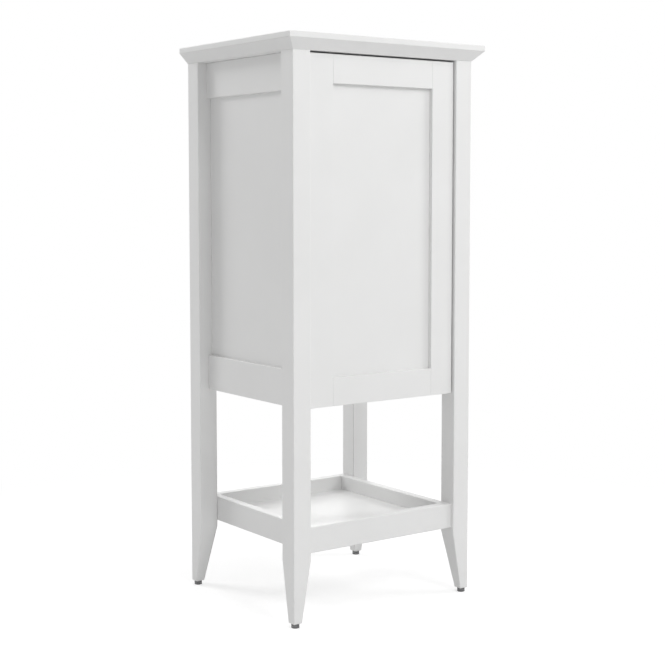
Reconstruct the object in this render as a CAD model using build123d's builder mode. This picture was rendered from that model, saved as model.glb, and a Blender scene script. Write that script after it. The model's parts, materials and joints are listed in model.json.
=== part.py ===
from build123d import *
import os

# Tall bathroom cabinet on four tapered posts: one inset door over an open tray.
# Millimetres. X runs to the right seen from the front, Y to the back, Z up from the floor.
# The origin is on the floor, under the middle of the top board.

os.makedirs("parts", exist_ok=True)

# Carcase, measured over the four posts
body_width = 415.0
body_depth = 366.0
post_size = 38.0
post_length = 1030.0
foot_height = 7.8
edge_break = 1.0

# Legs: the two inner faces of each post taper towards the floor
taper_length = 113.0
leg_tip = 18.3
tip_chamfer = 1.5

# Top: a thin board on a mitred frame whose outer edge is bevelled back to the posts
overhang = 18.2
bevel_height = 19.0
moulding_width = 60.0
top_thickness = 10.5

# Sides and back: rails between the posts, with panels tongued into them
carcase_height = 639.4
side_rail_height = 68.0
side_rail_thickness = 18.0
side_panel_thickness = 10.0
tongue_thickness = 6.0
tongue_length = 8.0
groove_spare = 0.5
back_rail_height = 68.0
back_rail_thickness = 18.0
back_recess = 2.0
wall_screw_hole = 5.0
wall_screw_spacing = 200.0

# Inside boards
board_thickness = 18.0
floor_lift = 2.0
stretcher_width = 60.0
shelf_thickness = 15.0
shelf_side_gap = 1.5
shelf_front_gap = 12.0
shelf_shares = (1 / 3, 2 / 3)
pin_pitch = 32.0
pin_hole = 5.0
pin_hole_depth = 8.0
pin_reach = 8.0
pin_inset = 50.0

# Door
door_thickness = 20.0
door_recess = 6.0
door_side_gap = 2.0
door_top_gap = 3.3
door_back_gap = 5.0
stile_width = 52.0
door_panel_recess = 8.6
door_panel_thickness = 6.0
door_groove_depth = 9.0

# Tray between the legs
tray_bottom = 132.0
tray_height = 47.8
tray_rail_thickness = 18.0
tray_front_recess = 7.5
tray_back_recess = 1.2
tray_floor_top = 151.5
tray_floor_thickness = 9.0
tray_groove_depth = 5.0

# Hinges: two concealed cup hinges on the door's right edge. Places are given as seen from
# above, as a distance from the door's hinge edge and a depth behind its front face
hinge_from_end = 100.0
cup_diameter = 35.0
cup_centre = 22.5
cup_depth = 12.5
cup_wall = 0.8
cup_floor = 1.0
flange_thickness = 1.2
flange_rim = 1.0
cup_screw_spacing = 48.0
cup_screw_offset = 6.0
cup_ear_width = 11.0
short_arm_pin = (24.5, 27.4)
short_cup_pin = (11.9, 11.7)
short_bend = (35.36, 5.78)
long_arm_pin = (38.8, 38.5)
long_cup_pin = (13.3, 16.1)
long_bend = (31.99, 20.54)
link_width = 3.4
short_eye_radius = 2.55
long_arm_eye_radius = 2.9
long_cup_eye_radius = 1.9
short_link_half = 3.5
long_plate = (3.8, 5.0)
long_gap = [(0.0, 5.0), (50.0, 5.0), (50.0, 15.0), (29.0, 31.5), (20.0, 31.5), (0.0, 25.0)]
long_eye_play = 1.55
cup_pin_half = 8.0
hinge_pin = 2.4
arm_pin = 3.0
arm_half_inside = 5.3
arm_sheet = 1.2
arm_outline = [
    (22.2, 25.2),
    (24.5, 24.6),
    (26.6, 25.1),
    (42.0, 36.8),
    (42.2, 40.6),
    (39.6, 42.0),
    (33.0, 44.9),
    (13.2, 58.0),
    (13.2, 76.0),
    (2.0, 76.0),
    (2.0, 50.0),
    (14.0, 44.0),
    (20.0, 31.0),
]
arm_hollow = [
    (-5.0, 15.0),
    (50.0, 15.0),
    (50.0, 50.0),
    (35.0, 48.0),
    (32.3, 43.9),
    (12.0, 57.4),
    (12.0, 80.0),
    (-5.0, 80.0),
]
plate_screw_depth = 57.0
plate_screw_spacing = 32.0
plate_wing = (14.0, 46.0, 2.0)
plate_rib_depth = (50.0, 74.0)
arm_screw_depth = 67.0
arm_screw_diameter = 4.0
arm_screw_head = 8.0
arm_screw_length = 8.0

# Screws of the hinges and the latch
screw_diameter = 3.5
screw_length = 10.0
pan_diameter = 6.6
pan_height = 1.6

# Push latch under the front stretcher, with a steel strike on the door
latch_from_edge = 24.0
latch_size = (16.0, 56.0, 14.0)
latch_lug = (34.0, 20.0, 3.0)
latch_lug_inset = 8.0
latch_screw_spacing = 25.0
latch_edge = 1.5
plunger_diameter = 8.0
plunger_length = 46.0
plunger_bore_depth = 44.0
strike_diameter = 14.0
strike_thickness = 1.2

# Screws that hold the top down
top_screw_inset = 97.5
top_screw_diameter = 4.0
top_screw_length = 30.0
screw_head_diameter = 8.0
screw_head_height = 2.4

# Loose tenons: flat pieces of beech that lie half in each of the two pieces that they tie
tenon_length = 30.0
tenon_width = 18.0
tenon_thickness = 6.0
tenon_grip = 12.0
tenon_spare = 0.5
tray_tenon_lift = 4.0
tray_side_grip = 10.0

# Levelling feet: a round pad that hangs loosely on the button end of a threaded stud in a sleeve
pad_diameter = 15.0
pad_gap = 0.4
pad_edge = 1.0
stud_diameter = 6.0
stud_length = 26.0
stud_room = 8.0
neck_diameter = 4.4
button_diameter = 5.6
button_height = 2.2
pad_floor = 1.2
sleeve_diameter = 9.0
sleeve_length = 13.0
thread_clearance = 0.1

# Running clearance between pieces that move on each other, and slip fit of pegs in holes
clearance = 0.3
fit = 0.1

# Places worked out from the sizes above
half_width = body_width / 2
half_opening = half_width - post_size
top_depth = body_depth + overhang
front = overhang - top_depth / 2
back = front + body_depth
leg_end = foot_height
taper_top = leg_end + taper_length
post_top = leg_end + post_length
carcase_bottom = post_top - carcase_height
board_bottom = post_top + bevel_height
side_rail_recess = post_size - side_rail_thickness
side_panel_recess = post_size - side_panel_thickness
side_groove = side_panel_recess + tongue_thickness / 2
groove_depth = tongue_length + groove_spare
inner_front = front + post_size
inner_back = back - post_size
back_face = back - back_recess
back_groove = back_face - back_rail_thickness / 2
interior_back = back_face - back_rail_thickness
door_front = front + door_recess
door_back = door_front + door_thickness
board_front = door_back + door_back_gap
door_bottom = carcase_bottom
door_top = post_top - door_top_gap
door_half = half_opening - door_side_gap
floor_bottom = carcase_bottom + floor_lift
floor_top = floor_bottom + board_thickness
stretcher_bottom = post_top - board_thickness
shelf_heights = [floor_top + share * (stretcher_bottom - floor_top) for share in shelf_shares]
top_screw_xs = (top_screw_inset - half_width, half_width - top_screw_inset)
hinge_heights = (door_bottom + hinge_from_end, door_top - hinge_from_end)
hinge_planes = [
    Plane(origin=(door_half, door_front, z), x_dir=(-1, 0, 0), z_dir=(0, 0, -1)) for z in hinge_heights
]
cup_planes = [
    Plane(origin=(door_half - cup_centre, door_back, z), x_dir=(-1, 0, 0), z_dir=(0, -1, 0))
    for z in hinge_heights
]
cup_screw_x = door_half - cup_centre - cup_screw_offset
plate_screw_y = door_front + plate_screw_depth
latch_x = -(door_half - latch_from_edge)
latch_z = stretcher_bottom - latch_size[2] / 2
latch_screw_y = board_front + latch_lug_inset + latch_lug[1] / 2
latch_screw_xs = [latch_x + step * latch_screw_spacing / 2 for step in (-1, 1)]
sides = {"left": -1, "right": 1}
ends = {"front": -1, "back": 1}


def keep(piece, name):
    """Labels a finished piece and writes it as its own file."""
    piece.part.label = name
    export_step(piece.part, f"parts/{name}.step")


def block(x, y, z, mode=Mode.ADD):
    """Adds or cuts a box, given by two values along each axis."""
    with Locations(((x[0] + x[1]) / 2, (y[0] + y[1]) / 2, (z[0] + z[1]) / 2)):
        Box(abs(x[1] - x[0]), abs(y[1] - y[0]), abs(z[1] - z[0]), mode=mode)


def bar(start, direction, diameter, length, mode=Mode.ADD):
    """Adds a round bar that starts at a point and runs along a direction."""
    with Locations(Plane(origin=start, z_dir=direction)):
        Cylinder(diameter / 2, length, align=(Align.CENTER, Align.CENTER, Align.MIN), mode=mode)


def hole(start, direction, diameter, depth):
    """Cuts a round hole that a bar of the same diameter slips into."""
    bar(start, direction, diameter + 2 * fit, depth, mode=Mode.SUBTRACT)


def screw(seat, direction, diameter, length, head_diameter, head_height):
    """Adds a screw: its head sits on a surface, its shank runs along a direction."""
    bar(seat, direction, diameter, length)
    bar(seat, [-part for part in direction], head_diameter, head_height)


def hinge_block(across, deep, half, mode=Mode.ADD):
    """Adds or cuts a box at both hinges, as far up as down from the hinge's middle."""
    with Locations(*hinge_planes):
        with Locations(((across[0] + across[1]) / 2, (deep[0] + deep[1]) / 2, 0)):
            Box(abs(across[1] - across[0]), abs(deep[1] - deep[0]), 2 * half, mode=mode)


def hinge_bar(place, diameter, half, mode=Mode.ADD):
    """Adds or cuts an upright round bar at both hinges."""
    with Locations(*hinge_planes):
        with Locations((*place, 0)):
            Cylinder(diameter / 2, 2 * half, mode=mode)


def tenon_box(middle, along, across):
    """The box of a loose tenon, its length and its width each along one axis: X is 0, Y 1, Z 2."""
    sizes = [tenon_thickness] * 3
    sizes[along] = tenon_length
    sizes[across] = tenon_width
    return [(centre - size / 2, centre + size / 2) for centre, size in zip(middle, sizes)]


def mortise(box):
    """Cuts the pocket of a loose tenon: a slip fit round it, and spare room at its ends."""
    rooms = [tenon_spare if high - low == tenon_length else fit for low, high in box]
    block(*[(low - room, high + room) for (low, high), room in zip(box, rooms)], mode=Mode.SUBTRACT)


# Where the loose tenons go: they tie boards to side rails, and the tray's rails to legs and each other
tenon_x = half_opening + tenon_grip - tenon_length / 2
tray_top = tray_bottom + tray_height
tray_front = front + tray_front_recess
tray_back = back - tray_back_recess
tray_rail_middles = {-1: tray_front + tray_rail_thickness / 2, 1: tray_back - tray_rail_thickness / 2}


def board_tenon(side, y, z):
    """A tenon that ties a board to a side rail."""
    return tenon_box((side * tenon_x, y, z), 0, 1)


def tray_tenon(side, end):
    """A tenon that ties the tray's front or back rail to a leg."""
    z = tray_bottom + tray_tenon_lift + tenon_width / 2
    return tenon_box((side * tenon_x, tray_rail_middles[end], z), 0, 2)


def tray_corner_tenon(side, end):
    """A tenon that ties a side rail of the tray to its front or back rail, above the tray's floor."""
    x = side * (half_opening - tray_rail_thickness / 2)
    inner = tray_rail_middles[end] - end * tray_rail_thickness / 2
    y = inner + end * (tray_side_grip - tenon_length / 2)
    return tenon_box((x, y, (tray_floor_top + tray_top) / 2), 1, 2)


def corner_of(side, end):
    """The outer corner of a post, seen from above."""
    return side * half_width, front if end < 0 else back


def leg_centre(side, end):
    """The middle of a leg's small end, where its foot goes."""
    x, y = corner_of(side, end)
    return x - side * leg_tip / 2, y - end * leg_tip / 2


def make_post(side, end):
    """A square post whose two inner faces taper below the tray."""
    outer_x, outer_y = corner_of(side, end)
    foot_x, foot_y = leg_centre(side, end)
    inner_x = outer_x - side * post_size
    middle = (outer_x - side * post_size / 2, outer_y - end * post_size / 2)
    with BuildPart() as post:
        with BuildSketch(Plane.XY.offset(leg_end)):
            with Locations((foot_x, foot_y)):
                Rectangle(leg_tip, leg_tip)
        with BuildSketch(Plane.XY.offset(taper_top)):
            with Locations(middle):
                Rectangle(post_size, post_size)
        loft(ruled=True)
        with BuildSketch(Plane.XY.offset(taper_top)):
            with Locations(middle):
                Rectangle(post_size, post_size)
        extrude(amount=post_top - taper_top)
        chamfer(post.faces().sort_by(Axis.Z)[0].edges(), tip_chamfer)
        long_edges = post.edges().filter_by(lambda edge: edge.length > taper_length / 2)
        chamfer(long_edges, edge_break)
        # groove that holds the side rails and the side panel
        groove_x = outer_x - side * side_groove
        groove_y = outer_y - end * post_size
        block(
            (groove_x - tongue_thickness / 2, groove_x + tongue_thickness / 2),
            (groove_y + end * groove_depth, groove_y - end * 1.0),
            (carcase_bottom, post_top + 1.0),
            mode=Mode.SUBTRACT,
        )
        if end > 0:
            # groove that holds the back rails and the back panel
            block(
                (inner_x + side * groove_depth, inner_x - side * 1.0),
                (back_groove - tongue_thickness / 2, back_groove + tongue_thickness / 2),
                (carcase_bottom, post_top + 1.0),
                mode=Mode.SUBTRACT,
            )
        mortise(tray_tenon(side, end))
        # bore for the sleeve and the stud of the levelling foot
        hole((foot_x, foot_y, leg_end), (0, 0, 1), sleeve_diameter, sleeve_length)
        hole((foot_x, foot_y, leg_end), (0, 0, 1), stud_diameter + 1.0, stud_length + stud_room)
    return post


for end_name, end in ends.items():
    for side_name, side in sides.items():
        keep(make_post(side, end), f"post_{end_name}_{side_name}")


# Side frames: a rail above and below, with a thick panel between them, all flush inside
rail_length = inner_back - inner_front
lower_rail = (carcase_bottom, carcase_bottom + side_rail_height)
upper_rail = (post_top - side_rail_height, post_top)
joint_heights = {"bottom": lower_rail, "top": upper_rail}
floor_tenon_ys = (inner_front + 30.0, 0.0, inner_back - 30.0)
floor_tenon_height = floor_bottom + board_thickness / 2
stretcher_tenon_height = post_top - board_thickness / 2
front_stretcher = (board_front, board_front + stretcher_width)
back_stretcher = (interior_back - stretcher_width, interior_back)
stretcher_tenon_ys = (
    front_stretcher[1] - stretcher_width / 4,
    back_stretcher[0] + stretcher_width / 4,
)
floor_tenons = [(y, floor_tenon_height) for y in floor_tenon_ys]
stretcher_tenons = [(y, stretcher_tenon_height) for y in stretcher_tenon_ys]


def make_side_rail(side, level):
    """A side rail with stub tenons, a groove for the panel and mortises for its board's loose tenons."""
    low, high = joint_heights[level]
    outer = side * (half_width - side_rail_recess)
    inner = side * half_opening
    tongue_x = side * (half_width - side_groove)
    half_tongue = tongue_thickness / 2
    with BuildPart() as rail:
        block((outer, inner), (inner_front, inner_back), (low, high))
        seen = rail.edges().filter_by(Axis.Y).group_by(Axis.X)[0 if side < 0 else -1]
        chamfer(seen, edge_break)
        block(
            (tongue_x - half_tongue, tongue_x + half_tongue),
            (inner_front - tongue_length, inner_back + tongue_length),
            (low, high),
        )
        groove = (high - groove_depth, high + 1.0) if level == "bottom" else (low - 1.0, low + groove_depth)
        block(
            (tongue_x - half_tongue, tongue_x + half_tongue),
            (inner_front - tongue_length, inner_back + tongue_length),
            groove,
            mode=Mode.SUBTRACT,
        )
        for y, z in floor_tenons if level == "bottom" else stretcher_tenons:
            mortise(board_tenon(side, y, z))
    return rail


def make_side_panel(side):
    """A side panel with a tongue all round and rows of holes for the shelf pins."""
    low, high = lower_rail[1], upper_rail[0]
    outer = side * (half_width - side_panel_recess)
    inner = side * half_opening
    tongue_x = side * (half_width - side_groove)
    with BuildPart() as panel:
        block((outer, inner), (inner_front, inner_back), (low, high))
        block(
            (tongue_x - tongue_thickness / 2, tongue_x + tongue_thickness / 2),
            (inner_front - tongue_length, inner_back + tongue_length),
            (low - tongue_length, high + tongue_length),
        )
        for y in pin_ys:
            for z in pin_heights:
                hole((inner, y, z), (side, 0, 0), pin_hole, pin_hole_depth)
        if side > 0:
            # holes for the screws of the hinge plates
            for z in plate_screw_heights:
                hole((inner, plate_screw_y, z), (1, 0, 0), screw_diameter, screw_length - plate_wing[2] + fit)
    return panel


# Shelf pins: three holes for each shelf, the middle one in use
pin_ys = (board_front + pin_inset, interior_back - pin_inset)
plate_screw_heights = [z + step * plate_screw_spacing / 2 for z in hinge_heights for step in (-1, 1)]
used_pin_heights = [height - clearance - pin_hole / 2 for height in shelf_heights]
pin_heights = [z + step * pin_pitch for z in used_pin_heights for step in (-1, 0, 1)]

for side_name, side in sides.items():
    for level in joint_heights:
        keep(make_side_rail(side, level), f"side_rail_{level}_{side_name}")
    keep(make_side_panel(side), f"side_panel_{side_name}")

# Back: two rails and a thin panel, all tongued into the back posts
back_length = 2 * half_opening
panel_grip = half_opening + tongue_length
groove_y = (back_groove - tongue_thickness / 2, back_groove + tongue_thickness / 2)
back_rails = {
    "bottom": (carcase_bottom, carcase_bottom + back_rail_height),
    "top": (post_top - back_rail_height, post_top),
}
wall_screw_height = sum(back_rails["top"]) / 2

for level, (low, high) in back_rails.items():
    with BuildPart() as back_rail:
        block((-half_opening, half_opening), (interior_back, back_face), (low, high))
        block((-panel_grip, panel_grip), groove_y, (low, high))
        groove = (high - groove_depth, high + 1.0) if level == "bottom" else (low - 1.0, low + groove_depth)
        block((-panel_grip, panel_grip), groove_y, groove, mode=Mode.SUBTRACT)
        if level == "top":
            # clearance holes for the screws that tie the cabinet to a wall
            for step in (-1, 1):
                start = (step * wall_screw_spacing / 2, interior_back - 1.0, wall_screw_height)
                hole(start, (0, 1, 0), wall_screw_hole, back_rail_thickness + 2.0)
    keep(back_rail, f"back_rail_{level}")

with BuildPart() as back_panel:
    block(
        (-panel_grip, panel_grip),
        groove_y,
        (back_rails["bottom"][1] - tongue_length, back_rails["top"][0] + tongue_length),
    )
keep(back_panel, "back_panel")

# Boards inside: the cabinet floor and two stretchers under the top
top_screw_ys = (front_stretcher[0] + 15.0, back_stretcher[1] - 20.0)
top_screw_places = [(x, y) for x in top_screw_xs for y in top_screw_ys]

with BuildPart() as cabinet_floor:
    block((-half_opening, half_opening), (board_front, interior_back), (floor_bottom, floor_top))
    chamfer(cabinet_floor.edges().filter_by(Axis.X).group_by(Axis.Y)[0], edge_break)
    for side in sides.values():
        for y, z in floor_tenons:
            mortise(board_tenon(side, y, z))
keep(cabinet_floor, "cabinet_floor")

for name, depth_range, tenon_place, screw_y in (
    ("front_stretcher", front_stretcher, stretcher_tenons[0], top_screw_ys[0]),
    ("back_stretcher", back_stretcher, stretcher_tenons[1], top_screw_ys[1]),
):
    with BuildPart() as stretcher:
        block((-half_opening, half_opening), depth_range, (stretcher_bottom, post_top))
        for side in sides.values():
            mortise(board_tenon(side, *tenon_place))
        for x in top_screw_xs:
            hole((x, screw_y, stretcher_bottom), (0, 0, 1), top_screw_diameter, board_thickness)
            hole((x, screw_y, stretcher_bottom), (0, 0, 1), screw_head_diameter, screw_head_height)
        if name == "front_stretcher":
            for x in latch_screw_xs:
                start = (x, latch_screw_y, stretcher_bottom)
                hole(start, (0, 0, 1), screw_diameter, screw_length - latch_lug[2] + fit)
    keep(stretcher, name)

with BuildPart() as carcase_tenons:
    for side in sides.values():
        for y, z in floor_tenons + stretcher_tenons:
            block(*board_tenon(side, y, z))
keep(carcase_tenons, "carcase_tenons")

# Shelves on their pins
shelf_half = half_opening - shelf_side_gap
shelf_front = board_front + shelf_front_gap
shelf_back = interior_back - shelf_side_gap
for number, height in enumerate(shelf_heights, start=1):
    with BuildPart() as shelf:
        block((-shelf_half, shelf_half), (shelf_front, shelf_back), (height, height + shelf_thickness))
        chamfer(shelf.edges().filter_by(Axis.X).group_by(Axis.Y)[0], edge_break)
    keep(shelf, f"shelf_{number}")

with BuildPart() as shelf_pins:
    for side in sides.values():
        for y in pin_ys:
            for z in used_pin_heights:
                grip = pin_hole_depth - groove_spare
                bar((side * (half_opening + grip), y, z), (-side, 0, 0), pin_hole, grip + pin_reach)
keep(shelf_pins, "shelf_pins")

# Top: a bevelled frame, mitred at the front corners, under a thin board
out_x = half_width + overhang
out_y = front - overhang
in_x = half_width - moulding_width
in_front = front + moulding_width
in_back = back - moulding_width
top_screw_grip = top_screw_length + screw_head_height - board_thickness + groove_spare

with BuildPart() as top_frame_front:
    with BuildSketch(Plane.YZ):
        with BuildLine():
            Polyline(
                (front, post_top),
                (in_front, post_top),
                (in_front, board_bottom),
                (out_y, board_bottom),
                close=True,
            )
        make_face()
    extrude(amount=out_x, both=True)
    with BuildSketch(Plane.XY.offset(post_top)):
        with BuildLine():
            Polyline((-out_x, out_y), (out_x, out_y), (in_x, in_front), (-in_x, in_front), close=True)
        make_face()
    extrude(amount=bevel_height, mode=Mode.INTERSECT)
    for x in top_screw_xs:
        hole((x, top_screw_ys[0], post_top), (0, 0, 1), top_screw_diameter, top_screw_grip)
keep(top_frame_front, "top_frame_front")

for side_name, side in sides.items():
    with BuildPart() as top_frame_side:
        with BuildSketch(Plane.XZ.offset(-back)):
            with BuildLine():
                Polyline(
                    (side * half_width, post_top),
                    (side * in_x, post_top),
                    (side * in_x, board_bottom),
                    (side * out_x, board_bottom),
                    close=True,
                )
            make_face()
        extrude(amount=back - out_y)
        with BuildSketch(Plane.XY.offset(post_top)):
            with BuildLine():
                Polyline(
                    (side * out_x, out_y),
                    (side * out_x, back),
                    (side * in_x, back),
                    (side * in_x, in_front),
                    close=True,
                )
            make_face()
        extrude(amount=bevel_height, mode=Mode.INTERSECT)
    keep(top_frame_side, f"top_frame_{side_name}")

with BuildPart() as top_frame_back:
    block((-in_x, in_x), (in_back, back), (post_top, board_bottom))
    for x in top_screw_xs:
        hole((x, top_screw_ys[1], post_top), (0, 0, 1), top_screw_diameter, top_screw_grip)
keep(top_frame_back, "top_frame_back")

with BuildPart() as top_screws:
    for x, y in top_screw_places:
        seat = (x, y, stretcher_bottom + screw_head_height)
        screw(seat, (0, 0, 1), top_screw_diameter, top_screw_length, screw_head_diameter, screw_head_height)
keep(top_screws, "top_screws")

with BuildPart() as top_board:
    block((-out_x, out_x), (out_y, back), (board_bottom, board_bottom + top_thickness))
    chamfer(top_board.faces().sort_by(Axis.Z)[-1].edges(), edge_break)
keep(top_board, "top_board")

# Door: two full-height stiles, two rails between them and a thin panel in their grooves
stile_inner = door_half - stile_width
panel_y = (door_front + door_panel_recess, door_front + door_panel_recess + door_panel_thickness)
door_tongue = door_groove_depth - groove_spare
panel_reach = stile_inner + door_tongue
door_rails = {
    "bottom": (door_bottom, door_bottom + stile_width),
    "top": (door_top - stile_width, door_top),
}
cup_screw_heights = [z + step * cup_screw_spacing / 2 for z in hinge_heights for step in (-1, 1)]

for side_name, side in sides.items():
    with BuildPart() as stile:
        block((side * door_half, side * stile_inner), (door_front, door_back), (door_bottom, door_top))
        face_edges = stile.faces().sort_by(Axis.Y)[0].edges()
        chamfer(face_edges.sort_by(Axis.X)[0 if side < 0 else -1], edge_break)
        block(
            (side * stile_inner - side, side * (stile_inner + door_groove_depth)),
            panel_y,
            (door_bottom, door_top),
            mode=Mode.SUBTRACT,
        )
        if side > 0:
            # bores for the hinge cups, and holes for their screws
            for z in hinge_heights:
                start = (door_half - cup_centre, door_back, z)
                hole(start, (0, -1, 0), cup_diameter, cup_depth + fit)
            for z in cup_screw_heights:
                start = (cup_screw_x, door_back, z)
                hole(start, (0, -1, 0), screw_diameter, screw_length - flange_thickness + fit)
    keep(stile, f"door_stile_{side_name}")

for level, (low, high) in door_rails.items():
    with BuildPart() as door_rail:
        block((-stile_inner, stile_inner), (door_front, door_back), (low, high))
        block((-panel_reach, panel_reach), panel_y, (low, high))
        if level == "bottom":
            groove = (high - door_groove_depth, high + 1.0)
        else:
            groove = (low - 1.0, low + door_groove_depth)
        block((-panel_reach, panel_reach), panel_y, groove, mode=Mode.SUBTRACT)
    keep(door_rail, f"door_rail_{level}")

with BuildPart() as door_panel:
    block(
        (-panel_reach, panel_reach),
        panel_y,
        (door_rails["bottom"][1] - door_tongue, door_rails["top"][0] + door_tongue),
    )
keep(door_panel, "door_panel")

# Hinges. Two bent links of unlike length carry the door: the short one turns in the middle
# of the cup, the long one is a pair of plates outside it, so that they can pass each other.
# Its pin at the cup runs in a wide hole, because one of the four pivots is left open
with BuildPart() as hinge_cups:
    with BuildSketch(*cup_planes):
        Circle(cup_diameter / 2)
    extrude(amount=cup_depth)
    with BuildSketch(*cup_planes):
        Circle(cup_diameter / 2 + flange_rim)
        with Locations((cup_screw_offset, 0)):
            SlotCenterToCenter(cup_screw_spacing, cup_ear_width, rotation=90)
    extrude(amount=-flange_thickness)
    with BuildSketch(*[plane.offset(-flange_thickness) for plane in cup_planes]):
        Circle(cup_diameter / 2 - cup_wall)
        Rectangle(cup_diameter, 2 * arm_half_inside, mode=Mode.INTERSECT)
    extrude(amount=cup_depth + flange_thickness - cup_floor, mode=Mode.SUBTRACT)
    # the flange is open where the links swing over the cup's edge
    hinge_block(
        (cup_centre - cup_diameter / 2 - 2 * flange_rim, cup_centre - cup_diameter / 4),
        (door_thickness, door_thickness + flange_thickness),
        arm_half_inside,
        mode=Mode.SUBTRACT,
    )
    hinge_bar(short_cup_pin, hinge_pin + 2 * fit, cup_pin_half + fit, mode=Mode.SUBTRACT)
    hinge_bar(long_cup_pin, hinge_pin + 2 * long_eye_play, cup_pin_half + fit, mode=Mode.SUBTRACT)
    for z in cup_screw_heights:
        start = (cup_screw_x, door_back + flange_thickness, z)
        hole(start, (0, -1, 0), screw_diameter, flange_thickness)
keep(hinge_cups, "hinge_cups")

with BuildPart() as hinge_cup_screws:
    for z in cup_screw_heights:
        seat = (cup_screw_x, door_back + flange_thickness, z)
        screw(seat, (0, -1, 0), screw_diameter, screw_length, pan_diameter, pan_height)
keep(hinge_cup_screws, "hinge_cup_screws")


def make_short_link(plane):
    """The link in the middle of the cup, with its pin riveted in at the cup's end."""
    with BuildPart() as link:
        with BuildSketch(plane):
            with BuildLine() as spine:
                Bezier(short_arm_pin, short_bend, short_cup_pin)
            trace(spine.line, link_width)
            for pin in (short_arm_pin, short_cup_pin):
                with Locations(pin):
                    Circle(short_eye_radius)
        extrude(amount=short_link_half, both=True)
        with Locations(plane):
            with Locations((*short_arm_pin, 0)):
                Cylinder(arm_pin / 2 + fit, 3 * short_link_half, mode=Mode.SUBTRACT)
            with Locations((*short_cup_pin, 0)):
                Cylinder(hinge_pin / 2, 2 * cup_pin_half)
    return link


def make_long_link(plane):
    """The link outside it: two plates, joined by a web, with a stub pin on each plate."""
    with BuildPart() as link:
        with BuildSketch(plane):
            with BuildLine() as spine:
                Bezier(long_arm_pin, long_bend, long_cup_pin)
            trace(spine.line, link_width)
            with Locations(long_arm_pin):
                Circle(long_arm_eye_radius)
            with Locations(long_cup_pin):
                Circle(long_cup_eye_radius)
        extrude(amount=long_plate[1], both=True)
        with BuildSketch(plane):
            with BuildLine():
                Polyline(long_gap, close=True)
            make_face()
        extrude(amount=long_plate[0], both=True, mode=Mode.SUBTRACT)
        with BuildSketch(plane):
            with Locations(long_arm_pin):
                Circle(link_width)
        extrude(amount=long_plate[0], both=True, mode=Mode.SUBTRACT)
        with Locations(plane):
            with Locations((*long_arm_pin, 0)):
                Cylinder(arm_pin / 2 + fit, 3 * long_plate[1], mode=Mode.SUBTRACT)
            middle = (long_plate[0] + cup_pin_half) / 2
            with Locations((*long_cup_pin, middle), (*long_cup_pin, -middle)):
                Cylinder(hinge_pin / 2, cup_pin_half - long_plate[0])
    return link


for name, plane in zip(("bottom", "top"), hinge_planes):
    keep(make_short_link(plane), f"hinge_short_link_{name}")
    keep(make_long_link(plane), f"hinge_long_link_{name}")

with BuildPart() as hinge_arms:
    with BuildSketch(*hinge_planes):
        with BuildLine():
            Polyline(arm_outline, close=True)
        make_face()
    extrude(amount=arm_half_inside + arm_sheet, both=True)
    with BuildSketch(*hinge_planes):
        with BuildLine():
            Polyline(arm_hollow, close=True)
        make_face()
    extrude(amount=arm_half_inside, both=True, mode=Mode.SUBTRACT)
    for pin in (short_arm_pin, long_arm_pin):
        hinge_bar(pin, arm_pin, arm_half_inside + arm_sheet)
    rib_top = arm_hollow[-2][0]
    for z in hinge_heights:
        start = (door_half - rib_top - 2 * arm_sheet, door_front + arm_screw_depth, z)
        hole(start, (1, 0, 0), arm_screw_diameter, 3 * arm_sheet)
keep(hinge_arms, "hinge_arms")

with BuildPart() as hinge_plates:
    hinge_block((-door_side_gap, rib_top), plate_rib_depth, arm_half_inside)
    wing_width, wing_length, wing_thickness = plate_wing
    wing_depth = (plate_screw_depth - wing_width / 2, plate_screw_depth + wing_width / 2)
    hinge_block((-door_side_gap, wing_thickness - door_side_gap), wing_depth, wing_length / 2)
    for z in plate_screw_heights:
        hole((half_opening - wing_thickness, plate_screw_y, z), (1, 0, 0), screw_diameter, wing_thickness)
    for z in hinge_heights:
        start = (door_half - rib_top, door_front + arm_screw_depth, z)
        hole(start, (1, 0, 0), arm_screw_diameter, arm_screw_length)
keep(hinge_plates, "hinge_plates")

with BuildPart() as hinge_arm_screws:
    for z in hinge_heights:
        seat = (door_half - rib_top - arm_sheet, door_front + arm_screw_depth, z)
        screw(seat, (1, 0, 0), arm_screw_diameter, arm_screw_length, arm_screw_head, pan_height)
keep(hinge_arm_screws, "hinge_arm_screws")

# Push latch, and the screws that it shares with the hinge plates
with BuildPart() as latch_body:
    width, depth, height = latch_size
    block(
        (latch_x - width / 2, latch_x + width / 2),
        (board_front, board_front + depth),
        (stretcher_bottom - height, stretcher_bottom),
    )
    fillet(latch_body.edges().filter_by(Axis.Y).group_by(Axis.Z)[0], latch_edge)
    lug_front = board_front + latch_lug_inset
    block(
        (latch_x - latch_lug[0] / 2, latch_x + latch_lug[0] / 2),
        (lug_front, lug_front + latch_lug[1]),
        (stretcher_bottom - latch_lug[2], stretcher_bottom),
    )
    start = (latch_x, board_front, latch_z)
    bar(start, (0, 1, 0), plunger_diameter + 2 * clearance, plunger_bore_depth, mode=Mode.SUBTRACT)
    for x in latch_screw_xs:
        hole((x, latch_screw_y, stretcher_bottom - latch_lug[2]), (0, 0, 1), screw_diameter, latch_lug[2])
keep(latch_body, "latch_body")

with BuildPart() as latch_plunger:
    tip = (latch_x, door_back + strike_thickness + clearance, latch_z)
    bar(tip, (0, 1, 0), plunger_diameter, plunger_length)
    chamfer(latch_plunger.faces().sort_by(Axis.Y)[0].edges(), edge_break)
keep(latch_plunger, "latch_plunger")

with BuildPart() as latch_strike:
    bar((latch_x, door_back, latch_z), (0, 1, 0), strike_diameter, strike_thickness)
keep(latch_strike, "latch_strike")

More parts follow.
